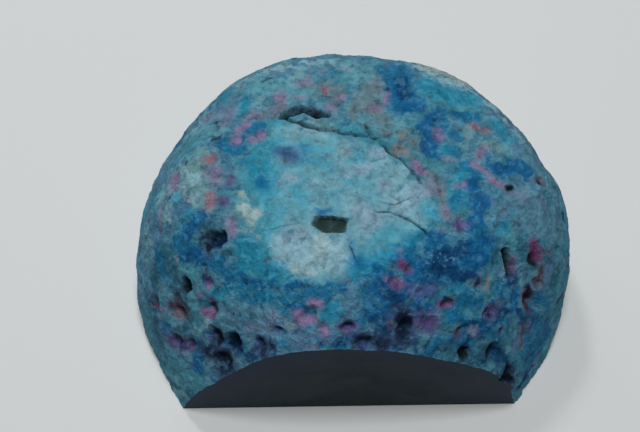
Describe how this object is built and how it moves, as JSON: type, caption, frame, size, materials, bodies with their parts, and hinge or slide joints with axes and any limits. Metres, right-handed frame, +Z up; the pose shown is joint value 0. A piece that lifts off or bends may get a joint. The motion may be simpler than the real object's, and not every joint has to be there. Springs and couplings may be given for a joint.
{
  "type": "sawn agate nodule",
  "caption": "Domed half of a blue-dyed agate nodule with a rough pitted rind, lying on its large sawn face, with a second sawn face standing at the front.",
  "frame": {"origin": "centre of the bounding box on the sawn base, which lies on Z = 0", "axes": "+Z up from the sawn base through the crown, +X along the stone's longest side, -Y out of the standing sawn face"},
  "size_m": [0.0786, 0.0642, 0.0315],
  "materials": {
    "dyed_rind": "rough, pitted chalcedony rind mottled turquoise, cobalt and pale grey by dye, with pink and purple pits; the two sawn faces are smooth and charcoal"
  },
  "bodies": {
    "root": {"agate": "dyed_rind"}
  },
  "joints": []
}
